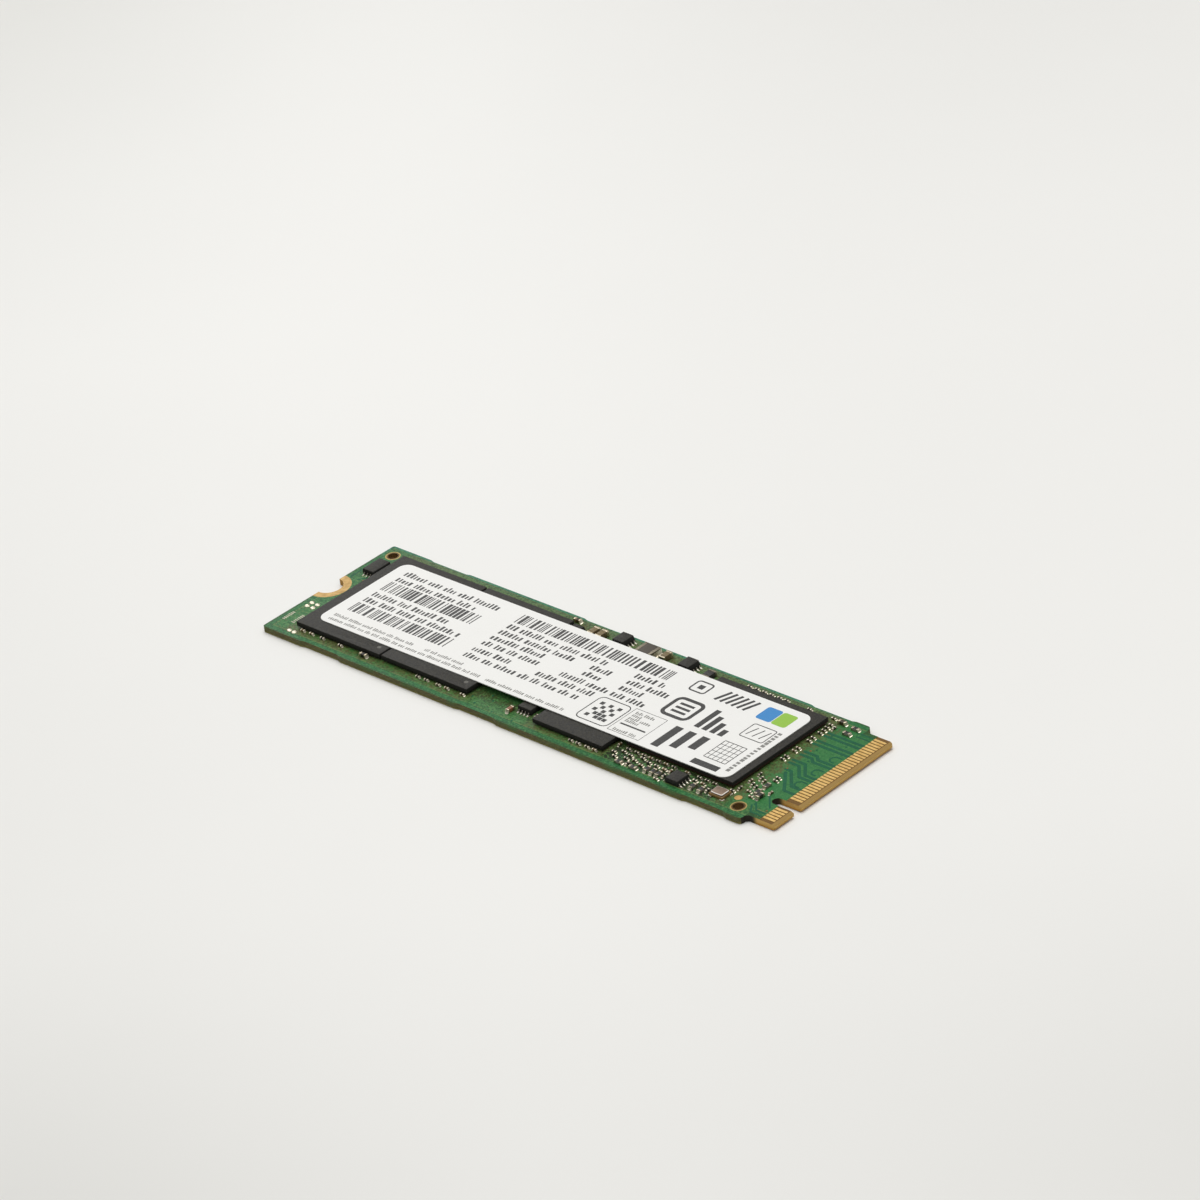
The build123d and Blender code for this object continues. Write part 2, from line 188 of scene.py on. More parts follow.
def cadCopy(name):  # a node's mesh in mm, welded, with its flat faces whole again
    bm = bmesh.new()
    bm.from_mesh(nodes[name].data)
    bmesh.ops.scale(bm, vec=(1 / mm, 1 / mm, 1 / mm), verts=bm.verts)
    bmesh.ops.remove_doubles(bm, verts=bm.verts, dist=copyLook["weld"])
    bmesh.ops.dissolve_limit(bm, angle_limit=copyLook["flatAngle"], verts=bm.verts, edges=bm.edges)
    return bm


def solidBoxes(name):  # lowest and highest corner of each separate solid of a node
    bm = cadCopy(name)
    boxes = []
    seen = set()
    for first in bm.verts:
        if first in seen:
            continue
        seen.add(first)
        group = [first]
        for vert in group:
            fresh = [edge.other_vert(vert) for edge in vert.link_edges]
            fresh = [other for other in fresh if other not in seen]
            seen.update(fresh)
            group.extend(fresh)
        boxes.append((Vector([min(v.co[i] for v in group) for i in range(3)]),
                      Vector([max(v.co[i] for v in group) for i in range(3)])))
    bm.free()
    return boxes


# Board: mask on both faces, bare laminate at the contacts, worn edges, with painted shade and highlights
# in places
boardLook = {  # colours, then places and widths in mm
    "pour": "376d36", "farPour": "566842", "endPour": "2a6f39", "lane": "33763f", "olive": "536534",
    "streak": "4c7d46", "via": "75804a", "flux": "625a36", "joint": "b3a888", "dirtAndShade": "3f3519",
    "paintedShade": "16140d", "greenStrip": "246a39", "farStrip": "2f7c62", "edgeStrip": "2b4f22",
    "speck": "1c3f20", "fleck": "5f8c50",
    "edge": "42432a", "edgeLight": "766f3c", "edgeFootHighlight": "8a833f", "edgeGreen": "3c6c36",
    "tongue": "c8a35a", "tongueFoot": "ae7f31", "bare": "5a3a15", "scorchAndShade": "28241a", "notch": "a67f38",
    "bevel": "a38349",
    "shoulderX": 36.0, "tongueX": 37.85, "laneX": 32.8, "laneY": -8.3, "farY": 8.8, "endX": -36.4,
    "notchRadius": 1.8, "maskLevel": 0.02, "flatLimit": 0.95, "plyRate": 42,
    "stripWidth": (0.72, 0.9), "farNarrower": 0.5, "edgeWidth": (0.14, 0.26),
    "lineFrom": (0.82, 0.88), "lineTo": (0.94, 1.02), "footHighlightLevel": (0.08, 0.2),
    "smearLevel": (0.15, 0.75),
}
fluxZones = [  # lowest and highest corner of each stretch of close-set parts
    ((31.4, -8.0), (33.4, 9.2)), ((11.0, -10.0), (32.2, -7.3)), ((2.6, -10.0), (14.5, -9.4)),
    ((-37.0, -10.0), (-8.0, -9.0)), ((-8.0, 8.6), (33.0, 10.0)),
]
dirtAndShadeZone = ((-8.2, -9.0), (2.8, -6.6))  # flux residue and painted shade beneath the label's edge, between memory and cache
paintedShadeZone = ((14.2, -10.1), (30.6, -6.9))  # painted shade among the parts beside the controller's near wall


def maskColour(coords, patches, lane, runs):  # green, olive by the packages, brown among the parts, with painted shade beside the label and among the parts by the controller
    look = boardLook
    x, y = places(coords)[:2]
    low, high = (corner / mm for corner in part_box("circuit_board"))
    step = (high.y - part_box("edge_contacts_top")[1].y / mm) * (x > look["shoulderX"])
    edgeDistance = (high.y - step - abs(y)).least(x - low.x)
    nearest = boxSpan(x, y, "memory_package_outer")
    for name in ("memory_package_inner", "cache_package", "controller_package"):
        nearest = nearest.least(boxSpan(x, y, name))
    crowded = nearest
    for zone in fluxZones:
        crowded = crowded.least(zoneSpan(x, y, *zone))
    close = 1 - crowded.rise(-0.1, 0.6)
    far = y.past(look["farY"], 0.4) * (1 - lane)
    mottle = coords.noise(0.45, 3.0)
    fine = coords.noise(0.24, 2.0)
    blotch = patches * 0.6 + mottle * 0.6 + fine * 0.8
    vias = coords.dots(0.62, 0.13) * patches.rise(0.42, 0.6) * (1 - lane)
    olive = (1 - nearest.rise(0.4, 1.6)) * (patches + mottle).rise(0.55, 1.05)
    joints = close * coords.dots(0.46, 0.085) * mottle.rise(0.46, 0.56)
    # brown residue and painted shade under the label's edge
    dirtAndShade = (1 - zoneSpan(x, y, *dirtAndShadeZone).rise(-1.2, 0.4)) * blotch.rise(0.78, 1.08)
    # painted shade: dark specks among the parts beside the controller
    paintedShade = 1 - zoneSpan(x, y, *paintedShadeZone).past(0.0, 0.3)
    paintedShade = paintedShade * (fine * 0.7 + mottle * 0.3).rise(0.41, 0.51)
    strip = 1 - edgeDistance.rise(*(width - far * look["farNarrower"] for width in look["stripWidth"]))
    line = edgeDistance.rise(*look["lineFrom"]) * (1 - edgeDistance.rise(*look["lineTo"]))
    green = lane.mix(far.mix(tint(look["pour"]), tint(look["farPour"])), tint(look["lane"]))
    return layered(green, [
        ((1 - x.past(look["endX"], 0.4)) * 0.7, tint(look["endPour"])),
        (runs * 0.6, tint(look["streak"])),
        (vias * 0.5, tint(look["via"])),
        (olive * 0.85, tint(look["olive"])),
        (close * blotch.rise(0.85, 1.15) * 0.8, tint(look["flux"])),
        (joints * 0.8, tint(look["joint"])),
        (dirtAndShade * 0.85, tint(look["dirtAndShade"])),
        (paintedShade * 0.85, tint(look["paintedShade"])),
        (strip * 0.85, far.mix(tint(look["greenStrip"]), tint(look["farStrip"]))),
        (line * patches.rise(0.3, 0.6) * (1 - far) * 0.7, tint(look["via"])),
        ((1 - edgeDistance.rise(*look["edgeWidth"])) * (1 - far) * 0.85, tint(look["edgeStrip"])),
        (fine.rise(0.5, 0.64) * (0.65 - lane * 0.35), tint(look["speck"])),
        ((1 - fine).rise(0.54, 0.68) * (0.5 - lane * 0.2), tint(look["fleck"])),
    ])


def wallColour(coords, ragged):  # the laminate's cut edge
    look = boardLook
    x, y, z = places(coords)
    plies = z.maths("SINE", z * look["plyRate"]) * 0.5 + 0.5
    smear = coords.noise(3.0, 2.0).rise(0.45, 0.7) * z.rise(*look["smearLevel"])
    tongue = z.rise(0.1, 0.5).mix(tint(look["tongueFoot"]), tint(look["tongue"]))
    # burnt laminate and painted shade at the inner end of the key slot
    scorchAndShade = (x > look["shoulderX"] - 0.1) * (y < 0)
    scorchAndShade = scorchAndShade * (1 - x.rise(look["shoulderX"] + 0.6, look["shoulderX"] + 1.5))
    wall = (ragged.rise(0.35, 0.7) * 0.6 + plies * 0.2).mix(tint(look["edge"]), tint(look["edgeLight"]))
    return layered(wall, [
        (smear * 0.85, tint(look["edgeGreen"])),
        # painted highlight: a pale line along the foot of the wall
        ((1 - z.rise(*look["footHighlightLevel"])) * 0.6, tint(look["edgeFootHighlight"])),
        (x.rise(look["tongueX"] - 1.2, look["tongueX"] - 0.2), tongue),
        (facing(coords).rise(0.1, 0.3) * (x > look["tongueX"]), tint(look["bevel"])),
        (scorchAndShade, tint(look["scorchAndShade"])),
    ])


def boardFinish():
    look = boardLook
    material, shader, coords = newFinish("board_mask", {"IOR": 1.27})
    x, y, z = places(coords)
    flat = abs(facing(coords)) > look["flatLimit"]
    onMask = flat * ((z > cardTop - look["maskLevel"]) + (z < look["maskLevel"]))
    patches = coords.noise(2.2, 3.0)
    grain = coords.noise(0.12, 2.0)
    ragged = coords.scaled((0.12, 0.12, 1)).noise(0.07, 4.0)
    lane = x.past(look["laneX"], 0.6) * y.past(look["laneY"], 0.4)  # clear stretch by the contacts
    runs = coords.scaled((0.04, 1, 1)).noise(0.22, 2.0).rise(0.52, 0.58) * (1 - lane)
    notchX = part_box("circuit_board")[0].x / mm
    notched = ((x - notchX) ** 2 + y * y) ** 0.5 < look["notchRadius"]
    wall = notched.mix(wallColour(coords, ragged), tint(look["notch"]))
    bare = (grain * 0.3).mix(tint(look["bare"]), tint(look["tongue"]))
    feed(shader, {
        "Base Color": onMask.mix(flat.mix(wall, bare), maskColour(coords, patches, lane, runs)),
        "Roughness": onMask * (patches * 0.16 - 0.18) + (0.62 - ragged * 0.1),
        "Metallic": notched * (1 - flat) * 0.8,
        "Normal": (patches * 0.4 + grain * 0.25 + runs * 0.5 + (1 - onMask) * ragged).bump(0.25, 0.02),
    })
    return material


# Gold: satin plating with fine drag marks along the card
goldLook = {"bright": "eec97f", "dull": "caa056", "wall": "b88f4a"}
notchLook = {"bright": "bc9b61", "dull": "91733c", "wall": "9a7636"}
fiducialLook = {"bright": "d2ac6c", "dull": "ac8547", "wall": "a67f38"}
stainLook = {"bright": "b8a062", "dull": "8b7a46", "wall": "6b5026", "inner": "5a4422",
             "innerRadius": 0.8}


def goldFinish(name, look, roughness):
    material, shader, coords = newFinish(name, {"Metallic": 0.75})
    drag = coords.scaled((0.06, 1, 1)).noise(0.035, 3.0)
    cloud = coords.noise(0.5, 2.0)
    plate = (cloud.rise(0.3, 0.75) * 0.6 + drag * 0.2).mix(tint(look["bright"]), tint(look["dull"]))
    if "inner" in look:  # a tooling hole, brown with flux inside its rim
        x, y = places(coords)[:2]
        middles = [(low + high) / 2 for low, high in solidBoxes("tooling_hole_plating")]
        rings = [((x - middle.x) ** 2 + (y - middle.y) ** 2) ** 0.5 for middle in middles]
        rim = rings[0].least(rings[1]).past(look["innerRadius"], 0.05)
        plate = rim.mix(tint(look["inner"]), plate)
    feed(shader, {
        "Base Color": (abs(facing(coords)) < 0.5).mix(plate, tint(look["wall"])),
        "Roughness": drag * 0.16 + roughness,
        "Normal": drag.bump(0.12, 0.004),
    })
    return material


# Tin and solder: bright, slightly frosted, with brown flux in places, painted shade on leads above the
# foot and a painted highlight on ends beside package walls
tinLook = {"bright": "f4ebd4", "frost": "8f846c", "fluxAndShadeTint": "2c2211", "metal": 0.85,
           "paintedGlint": ((-37.0, -10.2), (14.2, -9.0)), "paintedGlintTint": "f4ead2", "paintedGlintMetal": 0.45}
wornLook = {"bright": "cabfa8", "frost": "7f745e", "fluxAndShadeTint": "2c2211", "metal": 0.85}
grimyLook = {"bright": "d2c6ac", "frost": "9a8e74", "fluxAndShadeTint": "5a492d"}
padLook = {"bright": "f2ece0", "frost": "c9bfa8", "fluxAndShadeTint": "6a5430", "metal": 0.5}
dullLook = {"bright": "8f8878", "frost": "6f6859", "fluxAndShadeTint": "574829"}
leadLook = {"bright": "dedacd", "frost": "a79f8c", "fluxAndShadeTint": "2c2415", "kneeShadeFrom": 0.07, "kneeShadeTo": 0.2}


def tinFinish(name, look, roughness, fluxShare):
    material, shader, coords = newFinish(name, {"Metallic": look.get("metal", 1.0)})
    frost = coords.noise(0.09, 3.0)
    stainAndShade = coords.noise(0.7, 2.0).rise(0.5, 0.75) * fluxShare
    if "kneeShadeFrom" in look:  # painted shade, darker above the foot
        lift = places(coords)[2] - cardTop
        stainAndShade = stainAndShade.most(lift.rise(look["kneeShadeFrom"], look["kneeShadeTo"]) * 0.8)
    plate = frost.rise(0.35, 0.8).mix(tint(look["bright"]), tint(look["frost"]))
    if "paintedGlint" in look:  # painted highlight: ends that face a package's wall, whiter and less like a mirror, in place of glints the wall keeps off
        x, y = places(coords)[:2]
        paintedGlint = zoneSpan(x, y, *look["paintedGlint"]) < 0
        plate = (paintedGlint * 0.7).mix(plate, tint(look["paintedGlintTint"]))
        feed(shader, {"Metallic": look["metal"] - paintedGlint * (look["metal"] - look["paintedGlintMetal"])})
    feed(shader, {
        # the flux tint, which on leads also paints the shade above the foot
        "Base Color": stainAndShade.mix(plate, tint(look["fluxAndShadeTint"])),
        "Roughness": frost * 0.25 + roughness,
        "Normal": frost.bump(0.2, 0.006),
    })
    return material


# Moulded packages: near-black filled resin with a fine grain, a paler dot in the corner mark, and painted
# shade on the sides
mouldLook = {"resin": "1e1d1a", "grain": "3d3a31", "side": "191814", "mark": "6e6c64",
             "substrate": "3a2019", "sheetHeight": 0.2, "roughness": 0.4}


def mouldFinish(name, top=0.0, substrate=0.0):  # levels of a marked top and of a sheet below the resin
    material, shader, coords = newFinish(name, {"IOR": 1.38})
    z = places(coords)[2]
    up = facing(coords)
    side = 1 - up.rise(0.3, 0.6)
    grain = coords.noise(0.14, 3.0, 0.65)
    pits = coords.noise(0.34, 3.0, 0.6)
    cloud = coords.noise(1.6, 3.0)
    shade = grain.rise(0.42, 0.66) * 0.4 + pits.rise(0.42, 0.62) * 0.45 + cloud * 0.15
    resin = shade.mix(tint(mouldLook["resin"]), tint(mouldLook["grain"]))
    # painted shade: the sides darker than the top
    resin = (side * 0.9).mix(resin, tint(mouldLook["side"]))
    mark = (up > 0.9) * (z < top - 0.01)
    resin = (mark * 0.8).mix(resin, tint(mouldLook["mark"]))
    sheet = (abs(up) < 0.5) * (z < substrate)
    feed(shader, {
        "Base Color": sheet.mix(resin, tint(mouldLook["substrate"])),
        "Roughness": grain * 0.2 + pits * 0.2 + side * 0.2 + mouldLook["roughness"],
        "Normal": (grain + pits * 1.5).bump(0.9, 0.03),
    })
    return material


# Label: matt white film with a faint tooth, and a greyer cut edge
paperLook = {"film": "f4f3ef", "shade": "e9e8e2", "cut": "cfcfcb"}


def paperFinish():
    material, shader, coords = newFinish("label_film", {"IOR": 1.45})
    fibre = coords.noise(0.16, 4.0, 0.6)
    cloud = coords.noise(6.0, 2.0)
    tooth = fibre.rise(0.4, 0.75) * 0.4 + cloud * 0.25
    film = tooth.mix(tint(paperLook["film"]), tint(paperLook["shade"]))
    feed(shader, {
        "Base Color": (facing(coords) < 0.5).mix(film, tint(paperLook["cut"])),
        "Roughness": fibre * 0.2 + 0.5,
        "Normal": (fibre + cloud * 2).bump(0.12, 0.012),
    })
    return material


def inkFinish(name, code, worn):
    material, shader, coords = newFinish(name, {"Roughness": 0.55})
    wear = coords.noise(0.1, 3.0).rise(0.5, 0.85) * worn
    feed(shader, {"Base Color": wear.mix(tint(code), tint(paperLook["shade"]))})
    return material


# Ceramic bodies: tan to dark brown from part to part, with a fine speckle
ceramicLook = {"tan": "6e5632", "brown": "35280f", "dark": "17140e", "warm": "8a5636",
               "warmZone": ((-2.3, -10.2), (0.0, -7.3))}  # the capacitor beside the sensor


def ceramicFinish():
    material, shader, coords = newFinish("capacitor_ceramic", {"IOR": 1.55})
    share = coords.cells(1.1).parts()[0]
    speckle = coords.noise(0.05, 3.0)
    colour = share.rise(0.4, 0.7).mix(tint(ceramicLook["dark"]), tint(ceramicLook["brown"]))
    colour = share.rise(0.7, 0.95).mix(colour, tint(ceramicLook["tan"]))
    x, y = places(coords)[:2]
    colour = (zoneSpan(x, y, *ceramicLook["warmZone"]) < 0).mix(colour, tint(ceramicLook["warm"]))
    feed(shader, {
        "Base Color": (speckle.rise(0.5, 0.8) * 0.3).mix(colour, tint(ceramicLook["tan"])),
        "Roughness": speckle * 0.2 + 0.38,
        "Normal": speckle.bump(0.2, 0.006),
    })
    return material


# Blocks with one colour on top and one at the sides, such as resistors, the bead and the inductor
def coatedFinish(name, topCode, sideCode, grainSize, roughness):
    material, shader, coords = newFinish(name, {"IOR": 1.5})
    grain = coords.noise(grainSize, 3.0)
    coat = facing(coords).rise(0.3, 0.7)
    colour = coat.mix(tint(sideCode), tint(topCode))
    feed(shader, {
        "Base Color": (grain.rise(0.5, 0.85) * 0.35).mix(colour, tint(sideCode)),
        "Roughness": grain * 0.25 + roughness,
        "Normal": grain.bump(0.25, 0.008),
    })
    return material


# Crystal lid: satin pinkish metal, with a painted highlight along its bevelled rim
lidLook = {"bright": "9e8775", "dull": "776352", "rim": "f4ede4", "metal": 0.5}


def lidFinish():
    material, shader, coords = newFinish("crystal_lid")
    up = facing(coords)
    # painted highlight on the sloping rim
    rim = up.rise(0.12, 0.3) * (1 - up.rise(0.9, 0.98))
    grain = coords.noise(0.07, 3.0)
    cloud = coords.noise(0.6, 2.0)
    satin = grain.rise(0.3, 0.7) * 0.6 + cloud * 0.4
    metal = satin.mix(tint(lidLook["bright"]), tint(lidLook["dull"]))
    feed(shader, {
        "Base Color": rim.mix(metal, tint(lidLook["rim"])),
        "Metallic": lidLook["metal"] - rim * 0.4,
        "Roughness": grain * 0.2 + 0.38,
        "Normal": grain.bump(0.15, 0.004),
    })
    return material


# Relief under the mask, and pale marks on it
def reliefFinish(name, code, otherCode, roughness):
    material, shader, coords = newFinish(name, {"IOR": 1.3})
    cloud = coords.noise(0.35, 3.0)
    feed(shader, {
        "Base Color": cloud.rise(0.3, 0.75).mix(tint(code), tint(otherCode)),
        "Roughness": cloud * 0.15 + roughness,
    })
    return material


board = boardFinish()
gold = goldFinish("gold_plating", goldLook, roughness=0.36)
notchGold = goldFinish("notch_plating", notchLook, roughness=0.4)
fiducialGold = goldFinish("fiducial_plating", fiducialLook, roughness=0.4)
stainedGold = goldFinish("stained_plating", stainLook, roughness=0.45)
tin = tinFinish("tinned_ends", tinLook, roughness=0.26, fluxShare=0.45)
wornTin = tinFinish("worn_ends", wornLook, roughness=0.26, fluxShare=0.7)
solder = tinFinish("solder", tinLook, roughness=0.24, fluxShare=0.6)
padTin = tinFinish("pad_tin", padLook, roughness=0.3, fluxShare=0.2)
grimyTin = tinFinish("grimy_ends", grimyLook, roughness=0.25, fluxShare=0.5)
dullTin = tinFinish("dull_ends", dullLook, roughness=0.4, fluxShare=0.3)
leadTin = tinFinish("lead_tin", leadLook, roughness=0.25, fluxShare=0.6)
memoryMould = mouldFinish("memory_mould", top=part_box("memory_package_outer")[1].z / mm)
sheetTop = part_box("controller_package")[0].z / mm + mouldLook["sheetHeight"]
controllerMould = mouldFinish("controller_mould", substrate=sheetTop)
chipMould = mouldFinish("chip_mould")
paper = paperFinish()
ceramic = ceramicFinish()
resistorCoat = coatedFinish("resistor_coat", "1a1816", "8f897c", grainSize=0.06, roughness=0.35)
ferrite = coatedFinish("inductor_core", "4a4338", "3a342b", grainSize=0.09, roughness=0.5)
beadCoat = coatedFinish("bead_coat", "2b2925", "24221e", grainSize=0.08, roughness=0.45)
tanCeramic = coatedFinish("filter_ceramic", "75643f", "665432", grainSize=0.08, roughness=0.4)
brownCeramic = coatedFinish("crystal_ceramic", "7c6036", "8c6a34", grainSize=0.07, roughness=0.5)
lidMetal = lidFinish()
traceGreen = reliefFinish("trace_relief", "125539", "176240", roughness=0.5)
silk = reliefFinish("board_marks", "d6d0bc", "aeb096", roughness=0.6)
copper = reliefFinish("copper_spots", "94562a", "765026", roughness=0.4)
print("finishes made:", len(bpy.data.materials))


def dress(finish, *names):
    for name in names:
        nodes[name].data.materials.clear()
        nodes[name].data.materials.append(finish)


dress(board, "circuit_board")
dress(gold, "edge_contacts_top", "edge_contacts_bottom")
dress(fiducialGold, "fiducial_pad")
dress(notchGold, "mount_notch_plating")
dress(stainedGold, "tooling_hole_plating")
dress(paper, "label_sheet")


edgeLook = {"sharpAngle": math.radians(38), "easeAngle": 0.3}  # radians


def keep(bm, name, finish, slotName, *stoodFor):
    bmesh.ops.recalc_face_normals(bm, faces=bm.faces)
    bmesh.ops.scale(bm, vec=(mm, mm, mm), verts=bm.verts)
    mesh = bpy.data.meshes.new(name)
    bm.to_mesh(mesh)
    bm.free()
    mesh.shade_smooth()
    mesh.set_sharp_from_angle(angle=edgeLook["sharpAngle"])
    mesh.materials.append(finish)
    piece = bpy.data.objects.new(name, mesh)
    bpy.context.scene.collection.objects.link(piece)
    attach(piece, "root")
    if stoodFor:
        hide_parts(*stoodFor)


def soften(name, finish, slotName, width, segments=2):
    bm = cadCopy(name)
    sharp = [edge for edge in bm.edges if edge.calc_face_angle(0.0) > edgeLook["easeAngle"]]
    bmesh.ops.bevel(bm, geom=sharp, offset=width, affect="EDGES", segments=segments, profile=0.5,
                    material=-1, clamp_overlap=True)
    keep(bm, "soft_" + name, finish, slotName, name)


# Chips, leads, two-ended parts and the crystal: the solids with their edges eased
leadedChips = {  # easing of each body
    "identity_chip": 0.07, "sensor_chip": 0.06, "power_switch": 0.06, "regulator_inner": 0.07,
    "regulator_outer": 0.07,
}
packages = {
    "memory_package_outer": memoryMould, "memory_package_inner": memoryMould, "cache_package": chipMould,
    "controller_package": controllerMould,
}
easing = {"lead": 0.025, "powerChip": 0.06, "package": 0.035}
for chip, ease in leadedChips.items():
    soften(chip + "_body", chipMould, "chip_mould", ease)
    soften(chip + "_leads", leadTin, "tinned_metal", easing["lead"], 1)
soften("power_chip_body", chipMould, "chip_mould", easing["powerChip"])
for package, finish in packages.items():
    soften(package, finish, "package_mould", easing["package"])

endedParts = {  # finish and slot of the bodies, finish of the ends, easing of both
    "small_capacitor": (ceramic, "capacitor_ceramic", tin, 0.02, 0.055),
    "medium_capacitor": (ceramic, "capacitor_ceramic", grimyTin, 0.03, 0.08),
    "filter_capacitor": (tanCeramic, "capacitor_ceramic", grimyTin, 0.05, 0.09),
    "resistor": (resistorCoat, "chip_mould", wornTin, 0.02, 0.05),
    "inductor": (ferrite, "inductor_core", dullTin, 0.06, 0.07),
    "bead": (beadCoat, "chip_mould", dullTin, 0.05, 0.07),
}
for part, (finish, slotName, endFinish, bodyEase, endEase) in endedParts.items():
    soften(part + "_bodies", finish, slotName, bodyEase)
    soften(part + "_terminals", endFinish, "tinned_metal", endEase)

crystalEase = {"base": 0.03, "lid": 0.09, "terminals": 0.015}
soften("crystal_base", brownCeramic, "ceramic", crystalEase["base"])
soften("crystal_lid", lidMetal, "crystal_metal", crystalEase["lid"])
soften("crystal_terminals", padTin, "tinned_metal", crystalEase["terminals"], 1)
print("chips and parts eased")


# Solder: a hollow heel at each end of a part, a pad and a toe at each lead
solderLook = {"reach": 0.16, "reachBase": 0.6, "climb": 0.72, "tipFrom": 0.9, "tipWidth": 0.7,
              "pad": 0.02, "padMargin": 0.02, "toe": 0.05, "toeClimb": 0.055}
heelShape = [  # outline from the side, in shares of the reach and the climb
    (-0.2, 0.0), (1.0, 0.0), (0.55, 0.14), (0.22, 0.4), (0.0, 1.0), (-0.2, 1.0),
]


def extruded(bm, faces, step):  # draws faces out into solids and returns the new corners
    grown = bmesh.ops.extrude_face_region(bm, geom=faces)["geom"]
    moved = [item for item in grown if isinstance(item, bmesh.types.BMVert)]
    bmesh.ops.translate(bm, vec=step, verts=moved)
    return moved


def heel(bm, centre, outward, width, reach, climb):
    corners = [bm.verts.new((u * reach, -width / 2, v * climb)) for u, v in heelShape]
    far = extruded(bm, [bm.faces.new(corners)], (0, width, 0))
    tips = [v for v in corners + far if v.co.x > solderLook["tipFrom"] * reach]
    bmesh.ops.scale(bm, vec=(1, solderLook["tipWidth"], 1), verts=tips)
    turn = Matrix.Rotation(math.atan2(outward.y, outward.x), 4, "Z")
    bmesh.ops.transform(bm, matrix=Matrix.Translation(centre) @ turn, verts=corners + far)


def block(bm, low, high):
    middle = Matrix.Translation((Vector(low) + Vector(high)) / 2)
    sizes = Matrix.Diagonal((*(Vector(high) - Vector(low)), 1))
    bmesh.ops.create_cube(bm, size=1, matrix=middle @ sizes)


def ball(bm, middle, radius, height, look):
    squash = Matrix.Diagonal((radius, radius, height, 1))
    bmesh.ops.create_uvsphere(bm, u_segments=look["segments"], v_segments=look["rings"], radius=1,
                              matrix=Matrix.Translation(middle) @ squash)


def axisOf(step):  # the axis, along or across the card, that a step mostly follows
    if abs(step.x) > abs(step.y):
        return Vector((math.copysign(1, step.x), 0, 0))
    return Vector((0, math.copysign(1, step.y), 0))


heels = bmesh.new()
for part in endedParts:
    bodies = [(low + high) / 2 for low, high in solidBoxes(part + "_bodies")]
    for low, high in solidBoxes(part + "_terminals"):
        middle = (low + high) / 2
        home = min(bodies, key=lambda place: (place - middle).length)
        outward = axisOf(middle - home)
        size = high - low
        width = size.y if outward.x else size.x
        deep = size.x if outward.x else size.y
        foot = Vector((middle.x, middle.y, cardTop)) + outward * (deep / 2)
        reach = solderLook["reach"] * (solderLook["reachBase"] + size.z)
        heel(heels, foot, outward, width, reach, size.z * solderLook["climb"])
keep(heels, "solder_heels", solder, "solder")

pads = bmesh.new()
for chip in leadedChips:
    bodyLow, bodyHigh = (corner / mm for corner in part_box(chip + "_body"))
    for low, high in solidBoxes(chip + "_leads"):
        size = high - low
        middle = (low + high) / 2
        step = middle - (bodyLow + bodyHigh) / 2
        outward = axisOf(Vector((step.x * (size.x > size.y), step.y * (size.y >= size.x), 0)))
        margin = solderLook["padMargin"]
        grow = Vector((margin, margin, 0)) + Vector((abs(outward.x), abs(outward.y), 0)) * margin
        padLow = Vector((low.x, low.y, cardTop)) - grow
        padHigh = Vector((high.x, high.y, cardTop + solderLook["pad"])) + grow
        block(pads, padLow, padHigh)
        foot = Vector((middle.x, middle.y, cardTop)) + outward * max(size.x, size.y) / 2
        heel(pads, foot, outward, min(size.x, size.y), solderLook["toe"], solderLook["toeClimb"])
keep(pads, "lead_solder", solder, "solder")


# Test pads are domes of solder, cut off at the card
domeLook = {"swell": 1.25, "height": 0.12, "segments": 14, "rings": 8, "cutLevel": cardTop + 0.001}
domes = bmesh.new()
for low, high in solidBoxes("test_pads"):
    radius = (high.x - low.x) / 2 * domeLook["swell"]
    middle = Vector(((low.x + high.x) / 2, (low.y + high.y) / 2, cardTop))
    ball(domes, middle, radius, domeLook["height"], domeLook)
everything = domes.verts[:] + domes.edges[:] + domes.faces[:]
cut = bmesh.ops.bisect_plane(domes, geom=everything, dist=1e-5, plane_co=(0, 0, domeLook["cutLevel"]),
                             plane_no=(0, 0, -1), clear_outer=True)["geom_cut"]
bmesh.ops.holes_fill(domes, edges=[item for item in cut if isinstance(item, bmesh.types.BMEdge)])
keep(domes, "test_pad_domes", solder, "tinned_metal", "test_pads")


# Balls under the packages bulge between the card and the package
ballLook = {"swell": 1.35, "segments": 8, "rings": 6}
for name in [node for node in nodes if "solder_balls" in node]:
    balls = bmesh.new()
    for low, high in solidBoxes(name):
        radius = (high.x - low.x) / 2 * ballLook["swell"]
        ball(balls, (low + high) / 2, radius, (high.z - low.z) / 2, ballLook)
    keep(balls, "round_" + name, solder, "solder", name)
print("solder placed")


# Traces and vias under the mask by the contacts, and small marks on it
traceLook = {
    "width": 0.4, "thin": 0.22, "viaRadius": 0.14, "spotRadius": 0.12, "sides": 10, "laneEnd": 37.7,
    "low": cardTop - 0.01, "top": cardTop + 0.008, "capTop": cardTop + 0.009, "markTop": cardTop + 0.012,
}
lanes = [  # points of each trace from the parts to the contacts, before the run to the end of the lane
    [(32.7, 7.5)], [(32.7, 6.85)], [(32.6, 5.65)], [(32.6, 4.95)],
    [(33.0, 3.15), (34.8, 3.15), (35.35, 2.62)], [(33.0, 2.48), (34.6, 2.48), (35.15, 1.98)],
    [(33.0, 1.2), (34.75, 1.2), (36.25, -0.55)], [(33.0, 0.55), (34.4, 0.55), (35.9, -1.15)],
    [(33.6, -0.7), (34.35, -0.7), (36.45, -3.05)], [(34.0, -1.25), (36.3, -4.1)],
]
loopLevels = (4.2, 1.15, -1.7)
loopShape = [(37.5, 0.0), (36.75, 0.0), (36.4, -0.3), (36.4, -0.8), (36.7, -1.1), (37.2, -1.1)]
